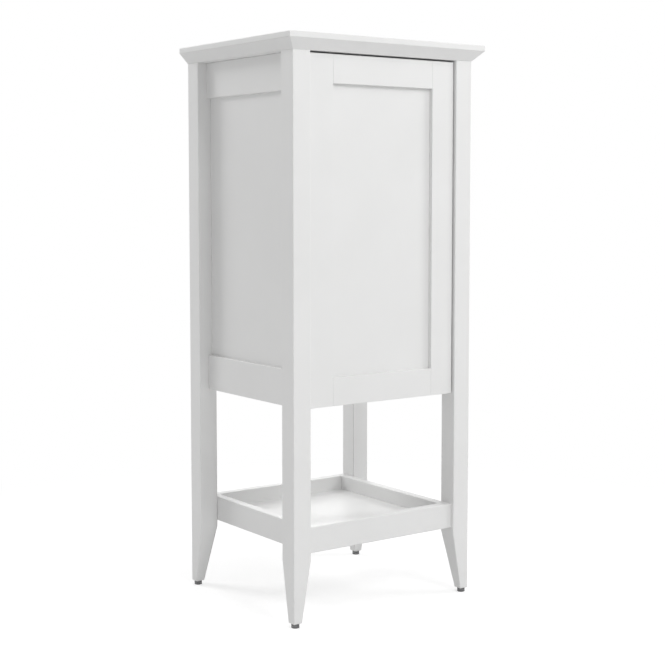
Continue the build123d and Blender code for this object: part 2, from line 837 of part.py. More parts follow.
with BuildPart() as carcase_screws:
    for z in plate_screw_heights:
        seat = (half_opening - wing_thickness, plate_screw_y, z)
        screw(seat, (1, 0, 0), screw_diameter, screw_length, pan_diameter, pan_height)
    for x in latch_screw_xs:
        seat = (x, latch_screw_y, stretcher_bottom - latch_lug[2])
        screw(seat, (0, 0, 1), screw_diameter, screw_length, pan_diameter, pan_height)
keep(carcase_screws, "carcase_screws")

# Tray: front and back rails between the legs, side rails between those, a floor in their grooves
tray_inner_y = (tray_front + tray_rail_thickness, tray_back - tray_rail_thickness)
tray_inner_x = half_opening - tray_rail_thickness
tray_floor_z = (tray_floor_top - tray_floor_thickness, tray_floor_top)

for end_name, end in ends.items():
    outer = tray_front if end < 0 else tray_back
    inner = tray_inner_y[0] if end < 0 else tray_inner_y[1]
    with BuildPart() as tray_rail:
        block((-half_opening, half_opening), (outer, inner), (tray_bottom, tray_top))
        chamfer(tray_rail.edges().filter_by(Axis.X), edge_break)
        groove_end = inner - (inner - outer) / abs(inner - outer) * tray_groove_depth
        block(
            (-half_opening + tray_groove_depth * 2, half_opening - tray_groove_depth * 2),
            (inner + (inner - outer), groove_end),
            tray_floor_z,
            mode=Mode.SUBTRACT,
        )
        for side in sides.values():
            mortise(tray_tenon(side, end))
            mortise(tray_corner_tenon(side, end))
    keep(tray_rail, f"tray_rail_{end_name}")

for side_name, side in sides.items():
    with BuildPart() as tray_rail:
        block((side * half_opening, side * tray_inner_x), tray_inner_y, (tray_bottom, tray_top))
        chamfer(tray_rail.edges().filter_by(Axis.Y), edge_break)
        block(
            (side * (tray_inner_x - 1.0), side * (tray_inner_x + tray_groove_depth)),
            tray_inner_y,
            tray_floor_z,
            mode=Mode.SUBTRACT,
        )
        for end in ends.values():
            mortise(tray_corner_tenon(side, end))
    keep(tray_rail, f"tray_rail_{side_name}")

with BuildPart() as tray_floor:
    block(
        (-tray_inner_x - tray_groove_depth + groove_spare, tray_inner_x + tray_groove_depth - groove_spare),
        (
            tray_inner_y[0] - tray_groove_depth + groove_spare,
            tray_inner_y[1] + tray_groove_depth - groove_spare,
        ),
        tray_floor_z,
    )
keep(tray_floor, "tray_floor")

with BuildPart() as tray_tenons:
    for side in sides.values():
        for end in ends.values():
            block(*tray_tenon(side, end))
            block(*tray_corner_tenon(side, end))
keep(tray_tenons, "tray_tenons")

# Levelling feet
pad_height = foot_height - pad_gap
button_bottom = pad_floor + clearance

with BuildPart() as leg_sleeves:
    for side in sides.values():
        for end in ends.values():
            x, y = leg_centre(side, end)
            bar((x, y, leg_end), (0, 0, 1), sleeve_diameter, sleeve_length)
            hole((x, y, leg_end - 1.0), (0, 0, 1), stud_diameter, sleeve_length + 2.0)
keep(leg_sleeves, "leg_sleeves")

for end_name, end in ends.items():
    for side_name, side in sides.items():
        x, y = leg_centre(side, end)
        with BuildPart() as pad:
            bar((x, y, 0), (0, 0, 1), pad_diameter, pad_height)
            chamfer(pad.edges(), pad_edge)
            seat = button_height + 2 * clearance
            bar((x, y, pad_floor), (0, 0, 1), button_diameter + 2 * clearance, seat, Mode.SUBTRACT)
            bar((x, y, pad_floor), (0, 0, 1), neck_diameter + 2 * clearance, pad_height, Mode.SUBTRACT)
        keep(pad, f"foot_pad_{end_name}_{side_name}")
        with BuildPart() as stud:
            bar((x, y, button_bottom), (0, 0, 1), button_diameter, button_height)
            bar((x, y, button_bottom), (0, 0, 1), neck_diameter, leg_end - button_bottom)
            bar((x, y, leg_end), (0, 0, 1), stud_diameter, stud_length)
        keep(stud, f"foot_stud_{end_name}_{side_name}")
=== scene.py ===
# %% [markdown]
# # A tall white bathroom cabinet
#
# The cabinet is painted wood: four square posts that taper to small metal feet, a box with one
# framed door between their upper parts, an open tray between the legs, and a thin top on a
# bevelled frame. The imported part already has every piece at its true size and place. What is left
# for this lesson is what a joiner, a turner and a painter add: eased edges, fine joint lines,
# cut threads and screw heads, and finishes that hold up close to the camera.

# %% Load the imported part
import json
from math import cos, pi, radians, sin

import bmesh
import bpy
from mathutils import Matrix, Vector


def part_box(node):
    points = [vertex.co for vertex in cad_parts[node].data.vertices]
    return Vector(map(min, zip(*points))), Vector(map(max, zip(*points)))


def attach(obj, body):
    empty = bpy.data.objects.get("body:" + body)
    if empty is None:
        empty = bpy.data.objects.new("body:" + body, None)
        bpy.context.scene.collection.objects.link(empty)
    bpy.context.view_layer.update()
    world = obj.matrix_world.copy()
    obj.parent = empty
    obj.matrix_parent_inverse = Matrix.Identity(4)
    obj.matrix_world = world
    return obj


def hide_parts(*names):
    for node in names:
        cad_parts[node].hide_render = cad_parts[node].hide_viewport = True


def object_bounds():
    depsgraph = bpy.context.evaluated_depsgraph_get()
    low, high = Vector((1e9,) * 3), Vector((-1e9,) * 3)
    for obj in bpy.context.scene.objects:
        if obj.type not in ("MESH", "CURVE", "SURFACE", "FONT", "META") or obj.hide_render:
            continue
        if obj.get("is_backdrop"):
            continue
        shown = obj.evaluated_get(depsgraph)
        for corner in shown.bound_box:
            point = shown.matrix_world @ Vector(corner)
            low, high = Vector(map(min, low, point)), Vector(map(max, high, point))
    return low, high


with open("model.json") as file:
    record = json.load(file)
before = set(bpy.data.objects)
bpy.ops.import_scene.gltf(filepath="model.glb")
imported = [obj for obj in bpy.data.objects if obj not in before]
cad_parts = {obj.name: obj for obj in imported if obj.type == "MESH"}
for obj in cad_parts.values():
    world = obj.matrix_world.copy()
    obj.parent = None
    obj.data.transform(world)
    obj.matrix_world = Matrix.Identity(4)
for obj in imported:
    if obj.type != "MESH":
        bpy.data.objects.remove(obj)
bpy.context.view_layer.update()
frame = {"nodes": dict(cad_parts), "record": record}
cad_nodes = frame["nodes"]
record = frame["record"]
body_of = {node: body for body, members in record["behaviour"]["bodies"].items() for node in members}
slot_of = {row["node"]: row["material_slot"] for row in record["subparts"]}
mm = 0.001

# %% [markdown]
# ## The photograph's camera
#
# In the photograph the cabinet's upright edges run parallel, and its level edges point to a
# horizon far above the middle of the picture. The camera stood 2.7 m away, at three quarters of
# the cabinet's height, and looked slightly down. A long lens keeps the proportions, and a small
# shift of the frame brings the cabinet to the middle without leaning its upright edges much.

# %% Make the camera
camera_place = Vector((-1.5896, -2.2098, 0.7922))
camera_turn = 35.79
camera_pitch = 4.63
camera_data = bpy.data.cameras.new("camera")
camera_data.sensor_width = 36.0
camera_data.lens = 75.38
camera_data.shift_y = -0.045
camera = bpy.data.objects.new("camera", camera_data)
camera.location = camera_place
camera.rotation_euler = (radians(90 - camera_pitch), 0, -radians(camera_turn))
bpy.context.scene.collection.objects.link(camera)
bpy.context.scene.camera = camera
print("Camera is", round(camera_place.length, 2), "m from the cabinet's foot")

# %% [markdown]
# ## Building blocks for materials
#
# Every finish here is made of a few effects: a fine texture that a roller, a brush or a machine leaves,
# slow changes of tone over a hand's width, and edges. The edges catch wear on the metals, and on the paint
# they carry a thin coat on outer arrises and painted shade in inside corners. Each effect is one node
# group, built once and placed in each material with its own numbers. All of them read Object coordinates,
# because every piece sits at the origin, so neighbours share one continuous field.

# %% A helper that makes node groups
def new_group(name, inputs, outputs):
    """An empty node group with number inputs {name: default} and outputs {name: socket type}."""
    group = bpy.data.node_groups.new(name, "ShaderNodeTree")
    for title, default in inputs.items():
        socket = group.interface.new_socket(title, in_out="INPUT", socket_type="NodeSocketFloat")
        socket.default_value = default
    for title, kind in outputs.items():
        group.interface.new_socket(title, in_out="OUTPUT", socket_type=kind)
    return group, group.nodes.new("NodeGroupInput"), group.nodes.new("NodeGroupOutput")


def add_node(tree, kind, **settings):
    """A new node; settings that name a property set it, the rest set an input's default."""
    node = tree.nodes.new(kind)
    for key, value in settings.items():
        if hasattr(node, key):
            setattr(node, key, value)
        else:
            node.inputs[key.replace("_", " ")].default_value = value
    return node


def math_node(tree, operation, first, second):
    """A Math node; each operand is a number or an output socket."""
    node = tree.nodes.new("ShaderNodeMath")
    node.operation = operation
    for socket, value in zip(node.inputs, (first, second)):
        if isinstance(value, (int, float)):
            socket.default_value = value
        else:
            tree.links.new(value, socket)
    return node.outputs[0]


# %% Group one: the fine texture of a rolled or sprayed surface
def make_stipple():
    """Small soft bumps of one size, with a finer set on top, as height around zero."""
    group, entry, exit_ = new_group(
        "stipple", {"Bumps per metre": 900.0, "Depth": 1.0}, {"Height": "NodeSocketFloat"}
    )
    links = group.links
    place = add_node(group, "ShaderNodeTexCoord")
    coarse = add_node(group, "ShaderNodeTexNoise", Detail=1.0, Roughness=0.4)
    fine = add_node(group, "ShaderNodeTexNoise", Detail=2.0, Roughness=0.6)
    links.new(place.outputs["Object"], coarse.inputs["Vector"])
    links.new(place.outputs["Object"], fine.inputs["Vector"])
    links.new(entry.outputs["Bumps per metre"], coarse.inputs["Scale"])
    finer = math_node(group, "MULTIPLY", entry.outputs["Bumps per metre"], 3.1)
    links.new(finer, fine.inputs["Scale"])
    low = math_node(group, "SUBTRACT", coarse.outputs["Fac"], 0.5)
    high = math_node(group, "MULTIPLY", math_node(group, "SUBTRACT", fine.outputs["Fac"], 0.5), 0.35)
    both = math_node(group, "ADD", low, high)
    links.new(math_node(group, "MULTIPLY", both, entry.outputs["Depth"]), exit_.inputs["Height"])
    return group


stipple = make_stipple()
print("Made group", stipple.name)


# %% Group two: slow changes over the surface
def make_drift():
    """A soft field between 0 and 1 that changes over a hand's width, for tone and gloss."""
    group, entry, exit_ = new_group("drift", {"Patches per metre": 9.0}, {"Field": "NodeSocketFloat"})
    place = add_node(group, "ShaderNodeTexCoord")
    noise = add_node(group, "ShaderNodeTexNoise", Detail=3.0, Roughness=0.55)
    spread = add_node(group, "ShaderNodeMapRange")
    spread.inputs["From Min"].default_value = 0.3
    spread.inputs["From Max"].default_value = 0.7
    group.links.new(place.outputs["Object"], noise.inputs["Vector"])
    group.links.new(entry.outputs["Patches per metre"], noise.inputs["Scale"])
    group.links.new(noise.outputs["Fac"], spread.inputs["Value"])
    group.links.new(spread.outputs["Result"], exit_.inputs["Field"])
    return group


drift = make_drift()
print("Made group", drift.name)


# %% Group three: edges
def make_edge_mask():
    """1 on convex and concave edges and 0 on flats, broken up by a fine noise."""
    group, entry, exit_ = new_group(
        "edge_mask", {"Gain": 6.0, "Breaks per metre": 160.0}, {"Mask": "NodeSocketFloat"}
    )
    links = group.links
    place = add_node(group, "ShaderNodeTexCoord")
    rounded = add_node(group, "ShaderNodeBevel", samples=4)
    rounded.inputs["Radius"].default_value = 1.2 * mm
    geometry = add_node(group, "ShaderNodeNewGeometry")
    product = add_node(group, "ShaderNodeVectorMath", operation="DOT_PRODUCT")
    links.new(rounded.outputs["Normal"], product.inputs[0])
    links.new(geometry.outputs["Normal"], product.inputs[1])
    turned_away = math_node(group, "SUBTRACT", 1.0, product.outputs["Value"])
    gained = math_node(group, "MULTIPLY", turned_away, entry.outputs["Gain"])
    noise = add_node(group, "ShaderNodeTexNoise", Detail=2.0, Roughness=0.6)
    links.new(place.outputs["Object"], noise.inputs["Vector"])
    links.new(entry.outputs["Breaks per metre"], noise.inputs["Scale"])
    broken = math_node(group, "MULTIPLY", gained, noise.outputs["Fac"])
    clamp = add_node(group, "ShaderNodeClamp")
    links.new(broken, clamp.inputs["Value"])
    links.new(clamp.outputs["Result"], exit_.inputs["Mask"])
    return group


edge_mask = make_edge_mask()
print("Made group", edge_mask.name)


# %% A helper that starts a material
def new_material(name):
    """An empty Principled material: (material, tree, its Principled shader)."""
    material = bpy.data.materials.new(name)
    material.use_nodes = True
    tree = material.node_tree
    return material, tree, tree.nodes["Principled BSDF"]


def place_group(tree, group, **values):
    """A node group in a material, with its own input values."""
    node = tree.nodes.new("ShaderNodeGroup")
    node.node_tree = group
    for key, value in values.items():
        node.inputs[key.replace("_", " ")].default_value = value
    return node


def blend_colours(tree, mask, first, second):
    """A colour that goes from first to second with a mask; each is a colour or an output socket."""
    node = tree.nodes.new("ShaderNodeMix")
    node.data_type = "RGBA"
    tree.links.new(mask, node.inputs["Factor"])
    for socket, value in ((node.inputs[6], first), (node.inputs[7], second)):
        if isinstance(value, tuple):
            socket.default_value = (*value, 1.0)
        else:
            tree.links.new(value, socket)
    return node.outputs[2]


def map_range(tree, value, low, high):
    """A number that goes from low to high as value goes from 0 to 1."""
    node = tree.nodes.new("ShaderNodeMapRange")
    node.inputs["To Min"].default_value = low
    node.inputs["To Max"].default_value = high
    tree.links.new(value, node.inputs["Value"])
    return node.outputs["Result"]


def add_bump(tree, shader, height, distance):
    """Feeds a height into the shader's normal; a height of 1 stands out by the distance."""
    bump = tree.nodes.new("ShaderNodeBump")
    bump.inputs["Distance"].default_value = distance
    bump.inputs["Strength"].default_value = 1.0
    tree.links.new(height, bump.inputs["Height"])
    tree.links.new(bump.outputs["Normal"], shader.inputs["Normal"])


# %% [markdown]
# ## White satin paint
#
# The photograph shows one even white, with soft highlights and no grain: sprayed satin lacquer on sanded
# wood. A flat colour would look like plastic. Three small things make it paint: a stipple a millimetre wide
# and a few hundredths deep, a tone that drifts by one or two percent, and a greyer colour on every edge. On
# outer arrises that grey stands for the coat pulling thin. In inside corners and grooves it is painted
# shade.

# %% White satin paint
def make_paint():
    """An even white with a satin gloss, a fine stipple, and greyer edges: a thin coat on arrises and
    painted shade in inside corners.
    """
    material, tree, shader = new_material("white_satin_paint")
    tones = place_group(tree, drift, Patches_per_metre=7.0)
    edges = place_group(tree, edge_mask, Gain=2.5, Breaks_per_metre=120.0)
    bumps = place_group(tree, stipple, Bumps_per_metre=750.0, Depth=1.0)
    coat = blend_colours(tree, tones.outputs["Field"], (0.79, 0.79, 0.785), (0.81, 0.81, 0.806))
    # Greyer on every edge the mask finds: a thin coat on outer arrises, and painted shade in inside corners
    # and grooves.
    coat = blend_colours(tree, edges.outputs["Mask"], coat, (0.74, 0.738, 0.73))
    tree.links.new(coat, shader.inputs["Base Color"])
    tree.links.new(map_range(tree, tones.outputs["Field"], 0.45, 0.53), shader.inputs["Roughness"])
    add_bump(tree, shader, bumps.outputs["Height"], 0.03 * mm)
    return material


paint = make_paint()
print("Made material", paint.name)

# %% [markdown]
# ## Beech for the loose tenons
#
# The loose tenons are bare beech, pinkish and close-grained, with short dark flecks along the
# grain. A noise that is stretched along the tenon gives the grain, and a second, denser one the
# flecks. Nearly all tenons of this cabinet lie across it, so one direction serves them well enough.

# %% Beech
def make_beech():
    """Pinkish wood with its grain along X and short dark flecks."""
    material, tree, shader = new_material("beech")
    place = add_node(tree, "ShaderNodeTexCoord")
    stretch = add_node(tree, "ShaderNodeMapping")
    stretch.inputs["Scale"].default_value = (60.0, 600.0, 600.0)
    grain = add_node(tree, "ShaderNodeTexNoise", Scale=1.0, Detail=4.0, Roughness=0.6)
    flecks = add_node(tree, "ShaderNodeTexNoise", Scale=3.5, Detail=1.0, Roughness=0.5)
    tree.links.new(place.outputs["Object"], stretch.inputs["Vector"])
    tree.links.new(stretch.outputs["Vector"], grain.inputs["Vector"])
    tree.links.new(stretch.outputs["Vector"], flecks.inputs["Vector"])
    wood = blend_colours(tree, grain.outputs["Fac"], (0.52, 0.33, 0.19), (0.66, 0.46, 0.29))
    fleck = add_node(tree, "ShaderNodeMapRange")
    fleck.inputs["From Min"].default_value = 0.62
    fleck.inputs["From Max"].default_value = 0.7
    tree.links.new(flecks.outputs["Fac"], fleck.inputs["Value"])
    wood = blend_colours(tree, fleck.outputs["Result"], wood, (0.36, 0.2, 0.11))
    tree.links.new(wood, shader.inputs["Base Color"])
    shader.inputs["Roughness"].default_value = 0.6
    add_bump(tree, shader, grain.outputs["Fac"], 0.05 * mm)
    return material


beech = make_beech()
print("Made material", beech.name)

# %% [markdown]
# ## Metals
#
# The hinges, screws and shelf pins are steel with a bright nickel plating: smooth, slightly warm,
# with faint marks from pressing. The feet are duller and darker, zinc over turned steel. Both are
# the same recipe with other numbers: a metal whose gloss drifts, edges rubbed brighter, and a
# stipple for the marks.

# %% Nickel and dark zinc
def make_metal(name, colour, rubbed, gloss, marks_per_metre, marks_depth):
    """Plated steel: gloss is its (lowest, highest) roughness."""
    material, tree, shader = new_material(name)
    shader.inputs["Metallic"].default_value = 1.0
    tones = place_group(tree, drift, Patches_per_metre=60.0)
    edges = place_group(tree, edge_mask, Gain=8.0, Breaks_per_metre=400.0)
    marks = place_group(tree, stipple, Bumps_per_metre=marks_per_metre, Depth=1.0)
    tree.links.new(blend_colours(tree, edges.outputs["Mask"], colour, rubbed), shader.inputs["Base Color"])
    tree.links.new(map_range(tree, tones.outputs["Field"], *gloss), shader.inputs["Roughness"])
    add_bump(tree, shader, marks.outputs["Height"], marks_depth)
    return material


nickel = make_metal("nickel_plating", (0.64, 0.62, 0.58), (0.8, 0.78, 0.74), (0.2, 0.34), 1500.0, 0.01 * mm)
zinc = make_metal("dark_zinc", (0.2, 0.2, 0.205), (0.42, 0.42, 0.42), (0.34, 0.5), 2200.0, 0.02 * mm)
print("Made materials", nickel.name, zinc.name)

# %% [markdown]
# ## Moulded plastic
#
# The latch is a light grey moulding. Moulds are eroded to a fine, even texture, so the stipple is
# dense and shallow here, and the gloss hardly changes.

# %% Grey plastic
def make_plastic():
    """A light grey moulding with an eroded texture."""
    material, tree, shader = new_material("grey_plastic")
    tones = place_group(tree, drift, Patches_per_metre=30.0)
    grains = place_group(tree, stipple, Bumps_per_metre=2600.0, Depth=1.0)
    shade = blend_colours(tree, tones.outputs["Field"], (0.27, 0.28, 0.285), (0.3, 0.31, 0.315))
    tree.links.new(shade, shader.inputs["Base Color"])
    tree.links.new(map_range(tree, tones.outputs["Field"], 0.48, 0.58), shader.inputs["Roughness"])
    add_bump(tree, shader, grains.outputs["Height"], 0.02 * mm)
    return material


plastic = make_plastic()
finish_of_slot = {
    "painted_wood": paint,
    "beech": beech,
    "nickel_steel": nickel,
    "dark_steel": zinc,
    "grey_plastic": plastic,
}

# %% Every CAD node gets the finish of its slot
for name, node in cad_nodes.items():
    node.data.materials.clear()
    node.data.materials.append(finish_of_slot[slot_of[name]])
print("Finished", len(cad_nodes), "CAD nodes")

# %% [markdown]
# ## From a bmesh to a piece
#
# Every new piece ends the same way: its mesh becomes an object at the origin, rides on the body of
# the CAD node that it stands for, and takes that node's finish. Edges that turn by 35 degrees or
# more are marked sharp, and the rest shade smoothly: a right angle that is rounded in three steps
# turns by 30 degrees at each. Large flats beside small roundings would pick up false shading, so a
# Weighted Normal modifier lets the flats decide.

# %% The last step of every piece
sharpest_smooth = radians(35)


def make_piece(bm, node, name=None, slot=None):
    """Turns a bmesh into a piece that stands for a CAD node, and says how large its mesh is."""
    name = name or f"{node}_piece"
    slot = slot or slot_of[node]
    for face in bm.faces:
        face.smooth = True
    for edge in bm.edges:
        edge.smooth = edge.calc_face_angle(0) < sharpest_smooth
    open_edges = sum(not edge.is_manifold for edge in bm.edges)
    mesh = bpy.data.meshes.new(name)
    bm.to_mesh(mesh)
    bm.free()
    piece = bpy.data.objects.new(name, mesh)
    bpy.context.scene.collection.objects.link(piece)
    mesh.materials.append(finish_of_slot[slot])
    weighted = piece.modifiers.new("flats first", "WEIGHTED_NORMAL")
    weighted.keep_sharp = True
    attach(piece, body_of[node])
    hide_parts(node)
    print(f"{name}: {len(mesh.polygons)} faces, {open_edges} open edges")


# %% [markdown]
# ## Joinery with eased edges
#
# The wooden pieces carry real joints, such as grooves, tongues and mortises, which are right
# in the CAD. What they lack is the ease that sandpaper gives every edge before painting: a
# rounding of about half a millimetre. It catches a thin highlight, and where two pieces meet
# flush it leaves the fine line that the photograph shows between the door's rails and stiles.
#
# A Bevel modifier would need clean faces, and the CAD mesh is loose triangles. So a copy is
# merged, its flat triangles are dissolved into whole faces, and the long convex edges are
# bevelled. Short edges, such as the rims of pin holes, stay as the drill left them. The bevel
# never grows past the shortest edge beside it, so where a post's taper starts, the slivers of a
# few hundredths of a millimetre are merged away first.

# %% Copy, merge and ease
def merged_copy(node, apart=0.002 * mm):
    """A bmesh of a CAD node's mesh, its doubles merged and its flat faces made whole."""
    bm = bmesh.new()
    bm.from_mesh(cad_nodes[node].data)
    bmesh.ops.remove_doubles(bm, verts=bm.verts, dist=apart)
    bmesh.ops.dissolve_limit(bm, angle_limit=radians(0.5), verts=bm.verts, edges=bm.edges)
    return bm


def ease(bm, width, shortest):
    """Rounds a bmesh's convex edges that are long enough, in three steps."""
    arrises = [
        edge
        for edge in bm.edges
        if edge.is_manifold
        and edge.calc_face_angle_signed(0) > radians(40)
        and edge.calc_length() >= shortest
    ]
    bmesh.ops.bevel(
        bm,
        geom=arrises,
        offset=width,
        offset_type="OFFSET",
        affect="EDGES",
        segments=3,
        profile=0.5,
        material=-1,
        clamp_overlap=True,
    )
    return bm


# %% The wooden pieces
fine_ease = 0.4 * mm
soft_ease = 0.6 * mm
shortest_eased = 12 * mm
sliver = 0.12 * mm
for node in sorted(cad_nodes):
    if slot_of[node] == "painted_wood":
        width = fine_ease if node.startswith("top_frame_") else soft_ease
        make_piece(ease(merged_copy(node, sliver), width, shortest_eased), node)

# %% [markdown]
# ## Tools for turned and threaded pieces
#
# Feet, studs, sleeves, pegs and screws are all made on a lathe, and they are modelled in the same
# way: half of the outline is drawn as a few points and spun round the Z axis. A thread is a small
# profile that climbs by one pitch in each turn. The finished form is then turned to face its hole
# and moved there. A piece that stands for several equal solids joins their forms in one mesh.

# %% Turning
def turned(profile, steps=48, closed=False):
    """A bmesh turned round the Z axis from (radius, height) points; a closed profile gives a ring."""
    bm = bmesh.new()
    points = [bm.verts.new((radius, 0, height)) for radius, height in profile]
    ends = points[1:] + points[:1] if closed else points[1:]
    lines = [bm.edges.new(pair) for pair in zip(points, ends)]
    bmesh.ops.spin(
        bm, geom=points + lines, cent=(0, 0, 0), axis=(0, 0, 1), angle=2 * pi, steps=steps, use_merge=True
    )
    bmesh.ops.remove_doubles(bm, verts=bm.verts, dist=0.001 * mm)
    bmesh.ops.recalc_face_normals(bm, faces=bm.faces)
    return bm


# %% A thread
def thread(core, radius, pitch, low, high, steps=24):
    """A closed ridge that winds round the Z axis from one height to another and fades at its ends."""
    bm = bmesh.new()
    foot, crest, fade = 0.42 * pitch, 0.08 * pitch, 0.7 * pitch
    smallest = 0.05
    profile = ((core, -foot), (radius, -crest), (radius, crest), (core, foot))
    face = bm.faces.new([bm.verts.new((reach, 0, low + height)) for reach, height in profile])
    count = round((high - low) / pitch * steps)
    bmesh.ops.spin(
        bm,
        geom=[face, *face.edges, *face.verts],
        cent=(0, 0, 0),
        axis=(0, 0, 1),
        dvec=(0, 0, pitch / steps),
        angle=2 * pi * count / steps,
        steps=count,
    )
    for vert in bm.verts:
        reach = vert.co.xy.length
        from_end = min(vert.co.z - low, high - vert.co.z) + crest
        grown = core + (reach - core) * min(1.0, max(smallest, from_end / fade))
        vert.co.xy *= grown / reach
    bmesh.ops.recalc_face_normals(bm, faces=bm.faces)
    return bm


# %% Placing and joining forms
def placed(bm, place, direction=(0, 0, 1)):
    """The same bmesh with its Z axis turned to a direction, moved to a place."""
    turn = Vector((0, 0, 1)).rotation_difference(Vector(direction)).to_matrix()
    bmesh.ops.rotate(bm, verts=bm.verts, cent=(0, 0, 0), matrix=turn)
    bmesh.ops.translate(bm, verts=bm.verts, vec=place)
    return bm


def joined(forms):
    """One bmesh that holds the forms of several, which are used up."""
    whole = bmesh.new()
    for form in forms:
        mesh = bpy.data.meshes.new("form")
        form.to_mesh(mesh)
        form.free()
        whole.from_mesh(mesh)
        bpy.data.meshes.remove(mesh)
    return whole


# %% Where the separate solids of a node are
def solids_of(node):
    """The (lowest, highest) corners of each separate solid of a CAD node, from left to right."""
    bm = merged_copy(node)
    waiting = set(bm.verts)
    boxes = []
    while waiting:
        reached = [waiting.pop()]
        places = []
        while reached:
            vert = reached.pop()
            places.append(vert.co.copy())
            near = {edge.other_vert(vert) for edge in vert.link_edges} & waiting
            waiting -= near
            reached.extend(near)
        low = Vector([min(place[axis] for place in places) for axis in range(3)])
        high = Vector([max(place[axis] for place in places) for axis in range(3)])
        boxes.append((low, high))
    bm.free()
    return sorted(boxes, key=lambda box: tuple(round(value, 5) for value in box[0]))


# %% [markdown]
# ## Feet
#
# Under each leg sits a small dark disc, turned from steel, with a groove round its middle that
# gives the fingers a grip. It hangs on the button end of a threaded stud, and the stud runs in a
# ribbed sleeve that is pressed into the leg. When a foot is screwed out, its thread shows.

# %% The foot pads
neck_hole, button_hole = 2.5 * mm, 3.1 * mm
hole_low, hole_high = 1.2 * mm, 4.0 * mm
hollow = 0.3 * mm
corners = [f"{end}_{side}" for end in ("front", "back") for side in ("left", "right")]
for corner in corners:
    node = f"foot_pad_{corner}"
    low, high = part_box(node)
    radius, height = (high.x - low.x) / 2, high.z - low.z
    outline = [
        (0, hollow),
        (radius - 2.2 * mm, hollow),
        (radius - 1.8 * mm, 0),
        (radius - 0.7 * mm, 0),
        (radius - 0.2 * mm, 0.2 * mm),
        (radius, 0.7 * mm),
        (radius, 3.1 * mm),
        (radius - 0.5 * mm, 3.4 * mm),
        (radius - 0.5 * mm, 4.0 * mm),
        (radius, 4.3 * mm),
        (radius, height - 0.7 * mm),
        (radius - 0.2 * mm, height - 0.2 * mm),
        (radius - 0.7 * mm, height),
        (neck_hole, height),
        (neck_hole, hole_high),
        (button_hole, hole_high),
        (button_hole, hole_low),
        (0, hole_low),
    ]
    centre = Vector(((low.x + high.x) / 2, (low.y + high.y) / 2, low.z))
    make_piece(placed(turned(outline), centre), node)

# %% The studs: a button that hangs in the pad, a neck, and an M6 thread
stud_radius, stud_core, stud_pitch = 3.0 * mm, 2.45 * mm, 1.0 * mm
stud_length = 26.0 * mm
button_radius, button_height, neck_radius = 2.8 * mm, 2.2 * mm, 2.2 * mm
for corner in corners:
    node = f"foot_stud_{corner}"
    low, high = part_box(node)
    height = high.z - low.z
    thread_start = height - stud_length
    outline = [
        (0, 0),
        (button_radius - 0.5 * mm, 0),
        (button_radius, 0.4 * mm),
        (button_radius, button_height - 0.2 * mm),
        (button_radius - 0.2 * mm, button_height),
        (neck_radius, button_height),
        (neck_radius, thread_start + 0.2 * mm),
        (stud_core, thread_start + 0.5 * mm),
        (stud_core, height - 0.6 * mm),
        (stud_core - 0.6 * mm, height),
        (0, height),
    ]
    ridge = thread(
        stud_core - 0.1 * mm, stud_radius, stud_pitch, thread_start + 0.9 * mm, height - 0.9 * mm
    )
    centre = Vector(((low.x + high.x) / 2, (low.y + high.y) / 2, low.z))
    make_piece(placed(joined([turned(outline, 36), ridge]), centre), node)

# %% The sleeves in the legs, with ribs that grip the wood
sleeve_bore = 3.1 * mm
rib_pitch, rib_depth = 2.0 * mm, 0.4 * mm
collar, lead_in = 1.5 * mm, 0.3 * mm
sleeves = []
for low, high in solids_of("leg_sleeves"):
    radius, height = (high.x - low.x) / 2, high.z - low.z
    outline = [(sleeve_bore + lead_in, 0), (radius, 0), (radius, collar)]
    for rib in range(round((height - 2 * collar) / rib_pitch)):
        start = collar + rib * rib_pitch
        outline += [(radius - rib_depth, start + 0.1 * mm), (radius, start + rib_pitch - 0.1 * mm)]
    outline += [(radius - 0.5 * mm, height), (sleeve_bore + lead_in, height)]
    outline += [(sleeve_bore, height - lead_in), (sleeve_bore, lead_in)]
    centre = Vector(((low.x + high.x) / 2, (low.y + high.y) / 2, low.z))
    sleeves.append(placed(turned(outline, 36, closed=True), centre))
make_piece(joined(sleeves), "leg_sleeves")

# %% [markdown]
# ## Screws
#
# Every screw is a turned shank with a point, a ridge for its thread, and a low rounded head. The
# cross recess is what tells a screw from a rivet: a plus is drawn on the open top of the head, the
# flat between plus and rim is filled, and the plus is pushed in and made smaller, as the punch
# leaves it. The head's seat is at height 0 and its point is up, so one call turns it to any hole.

# %% One screw
def cross_recess(bm, height, reach, depth):
    """Closes a form's open round top with a flat that has a tapered plus pressed into it."""
    rim = [edge for edge in bm.edges if edge.is_boundary]
    arm = 0.3 * reach
    places = []
    for quarter in range(4):
        turn = Matrix.Rotation(quarter * pi / 2, 2)
        places += [turn @ Vector(place) for place in ((reach, -arm), (reach, arm), (arm, arm))]
    points = [bm.verts.new((*place, height)) for place in places]
    outline = [bm.edges.new(pair) for pair in zip(points, points[1:] + points[:1])]
    bmesh.ops.triangle_fill(bm, use_beauty=True, edges=rim + outline)
    pushed = bmesh.ops.extrude_edge_only(bm, edges=outline)["geom"]
    low_points = [item for item in pushed if isinstance(item, bmesh.types.BMVert)]
    low_outline = [item for item in pushed if isinstance(item, bmesh.types.BMEdge)]
    bmesh.ops.scale(bm, vec=(0.5, 0.5, 1), verts=low_points)
    bmesh.ops.translate(bm, vec=(0, 0, depth), verts=low_points)
    bmesh.ops.contextual_create(bm, geom=low_outline)


